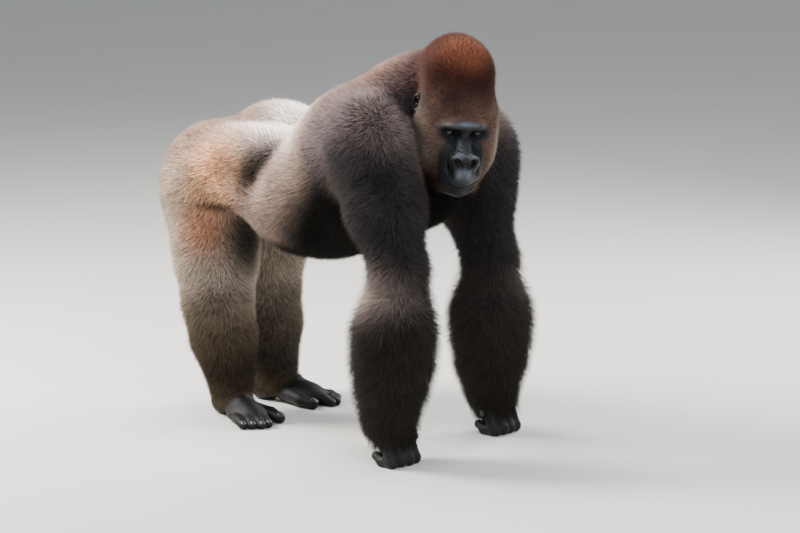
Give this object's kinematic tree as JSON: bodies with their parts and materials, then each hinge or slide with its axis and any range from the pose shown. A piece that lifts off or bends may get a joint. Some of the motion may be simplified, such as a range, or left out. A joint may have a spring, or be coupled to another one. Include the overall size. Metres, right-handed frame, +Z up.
{
  "type": "gorilla figure",
  "caption": "Still, life-size western lowland gorilla, a silverback male, standing on soles and knuckles with its head turned to its right.",
  "frame": {"origin": "on the floor, under the middle of the animal's bounding box", "axes": "+X the way the body faces, +Y the animal's left, +Z up"},
  "size_m": [1.1757, 0.7136, 1.1499],
  "materials": {
    "coat": "dense dark hair, chestnut on the crown and silver-grey on the saddle",
    "skin": "bare blackish skin, creased, with a soft shine",
    "nail": "dark horn, slightly glossy",
    "eye": "dark brown eye, wet and glossy"
  },
  "bodies": {
    "root": {"head": "coat", "neck": "coat", "torso": "coat", "upper_arm_left": "coat", "forearm_left": "coat", "hand_left": "skin", "thigh_left": "coat", "shank_left": "coat", "foot_left": "skin", "ear_left": "skin", "eye_left": "eye", "nail_thumb_left": "nail", "nail_finger_1_left": "nail", "nail_finger_2_left": "nail", "nail_finger_3_left": "nail", "nail_finger_4_left": "nail", "nail_toe_1_left": "nail", "nail_toe_2_left": "nail", "nail_toe_3_left": "nail", "nail_toe_4_left": "nail", "nail_toe_5_left": "nail", "upper_arm_right": "coat", "forearm_right": "coat", "hand_right": "skin", "thigh_right": "coat", "shank_right": "coat", "foot_right": "skin", "ear_right": "skin", "eye_right": "eye", "nail_thumb_right": "nail", "nail_finger_1_right": "nail", "nail_finger_2_right": "nail", "nail_finger_3_right": "nail", "nail_finger_4_right": "nail", "nail_toe_1_right": "nail", "nail_toe_2_right": "nail", "nail_toe_3_right": "nail", "nail_toe_4_right": "nail", "nail_toe_5_right": "nail"}
  },
  "joints": []
}
